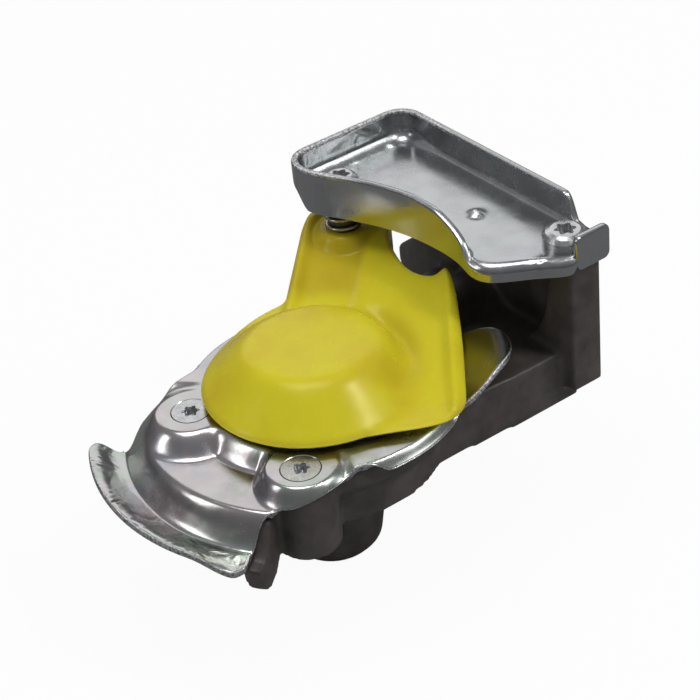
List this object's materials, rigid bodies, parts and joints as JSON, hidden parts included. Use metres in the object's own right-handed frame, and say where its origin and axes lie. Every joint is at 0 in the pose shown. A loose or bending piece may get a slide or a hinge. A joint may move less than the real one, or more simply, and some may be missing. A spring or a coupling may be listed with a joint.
{
  "type": "gladhand air brake coupler",
  "caption": "Air brake hose coupling head: black cast body, two plated steel guide plates and a yellow sprung dust lid over a rubber face seal.",
  "frame": {"origin": "centre of the coupling face, where the seal axis meets the top of the lower guide plate", "axes": "+Z along the seal axis, away from the casting; +Y towards the rear wall and the hose port; +X towards the cast post"},
  "size_m": [0.0857, 0.1285, 0.0847],
  "materials": {
    "casting": "satin black coating",
    "plated_steel": "bright zinc plating",
    "bright_screw": "bright plating",
    "spring_steel": "dull wire",
    "yellow_plastic": "satin moulded",
    "dark_bush": "dull",
    "black_rubber": "matte",
    "brass_sleeve": "turned"
  },
  "bodies": {
    "head": {"body_casting": "casting", "lower_guide_plate": "plated_steel", "upper_guide_plate": "plated_steel", "guide_screw_left": "bright_screw", "guide_screw_right": "bright_screw", "post_screw": "bright_screw", "pivot_bolt": "bright_screw", "head_washer": "bright_screw", "nut_washer": "bright_screw", "pivot_nut": "bright_screw", "lid_spring": "spring_steel", "face_seal": "black_rubber", "valve_sleeve": "brass_sleeve", "sleeve_ring": "black_rubber", "valve_spring": "spring_steel"},
    "lid": {"dust_lid": "yellow_plastic", "lid_bush": "dark_bush"},
    "plunger": {"valve_plunger": "brass_sleeve", "plunger_ring": "black_rubber"}
  },
  "joints": [
    {"name": "lid_swing", "type": "hinge", "parent": "head", "child": "lid", "pos_m": [-0.0342, 0.0362, 0.012], "axis": [0, 0, -1], "range_deg": [0, 80], "stiffness_Nm_per_rad": 0.05, "springref_deg": -34.38},
    {"name": "valve_push", "type": "slide", "parent": "head", "child": "plunger", "axis": [0, 0, -1], "range_m": [0, 0.004], "stiffness_N_per_m": 1500, "springref_m": -0.004, "deforming": ["valve_spring"]}
  ]
}
